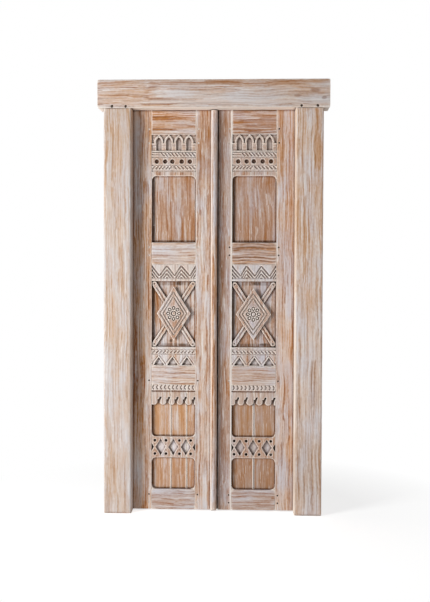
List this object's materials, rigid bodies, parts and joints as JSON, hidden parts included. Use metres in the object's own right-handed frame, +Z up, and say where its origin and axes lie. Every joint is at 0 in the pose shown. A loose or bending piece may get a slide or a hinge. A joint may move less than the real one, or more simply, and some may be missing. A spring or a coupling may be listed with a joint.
{
  "type": "carved wooden gate with frame",
  "caption": "Narrow pair of carved wooden doors in a post and lintel frame; both leaves swing back on pin hinges.",
  "frame": {"origin": "middle of the footprint, on the floor", "axes": "+Z up, -Y towards the carved front, +X to the right seen from the front"},
  "size_m": [1.116, 0.12, 2.1],
  "materials": {
    "frame_wood": "lime-washed weathered teak, planed and worn",
    "leaf_wood": "lime-washed weathered teak, grain open",
    "carved_wood": "hand-carved teak with white lime in the cuts",
    "board_wood": "teak boards, lime rubbed thin",
    "peg_wood": "dark end grain",
    "forged_iron": "forged, dull, darkened with age"
  },
  "bodies": {
    "frame": {"frame_pegs": "peg_wood", "jamb_hinge_nails": "forged_iron", "left_hinge_pin_1": "forged_iron", "left_hinge_pin_2": "forged_iron", "left_hinge_pin_3": "forged_iron", "left_jamb_plate_1": "forged_iron", "left_jamb_plate_2": "forged_iron", "left_jamb_plate_3": "forged_iron", "left_post": "frame_wood", "lintel": "frame_wood", "right_hinge_pin_1": "forged_iron", "right_hinge_pin_2": "forged_iron", "right_hinge_pin_3": "forged_iron", "right_jamb_plate_1": "forged_iron", "right_jamb_plate_2": "forged_iron", "right_jamb_plate_3": "forged_iron", "right_post": "frame_wood"},
    "left_leaf": {"left_board_1": "board_wood", "left_board_2": "board_wood", "left_board_3": "board_wood", "left_bottom_rail": "leaf_wood", "left_cover_bead": "leaf_wood", "left_diamond_plaque": "carved_wood", "left_hanging_stile": "leaf_wood", "left_hinge_nails": "forged_iron", "left_leaf_plate_1": "forged_iron", "left_leaf_plate_2": "forged_iron", "left_leaf_plate_3": "forged_iron", "left_lower_rail": "leaf_wood", "left_meeting_stile": "leaf_wood", "left_middle_panel": "carved_wood", "left_middle_rail": "leaf_wood", "left_pegs": "peg_wood", "left_stick_nails": "forged_iron", "left_stick_over": "carved_wood", "left_stick_under": "carved_wood", "left_top_rail": "leaf_wood", "left_upper_panel": "carved_wood"},
    "right_leaf": {"right_board_1": "board_wood", "right_board_2": "board_wood", "right_bottom_rail": "leaf_wood", "right_diamond_plaque": "carved_wood", "right_hanging_stile": "leaf_wood", "right_hinge_nails": "forged_iron", "right_leaf_plate_1": "forged_iron", "right_leaf_plate_2": "forged_iron", "right_leaf_plate_3": "forged_iron", "right_lower_rail": "leaf_wood", "right_meeting_stile": "leaf_wood", "right_middle_panel": "carved_wood", "right_middle_rail": "leaf_wood", "right_pegs": "peg_wood", "right_stick_nails": "forged_iron", "right_stick_over": "carved_wood", "right_stick_under": "carved_wood", "right_top_rail": "leaf_wood", "right_upper_panel": "carved_wood"}
  },
  "joints": [
    {"name": "left_leaf_swing", "type": "hinge", "parent": "frame", "child": "left_leaf", "pos_m": [-0.407, 0.053, 1], "axis": [0, 0, 1], "range_deg": [0, 110]},
    {"name": "right_leaf_swing", "type": "hinge", "parent": "frame", "child": "right_leaf", "pos_m": [0.407, 0.053, 1], "axis": [0, 0, -1], "range_deg": [0, 110]}
  ]
}
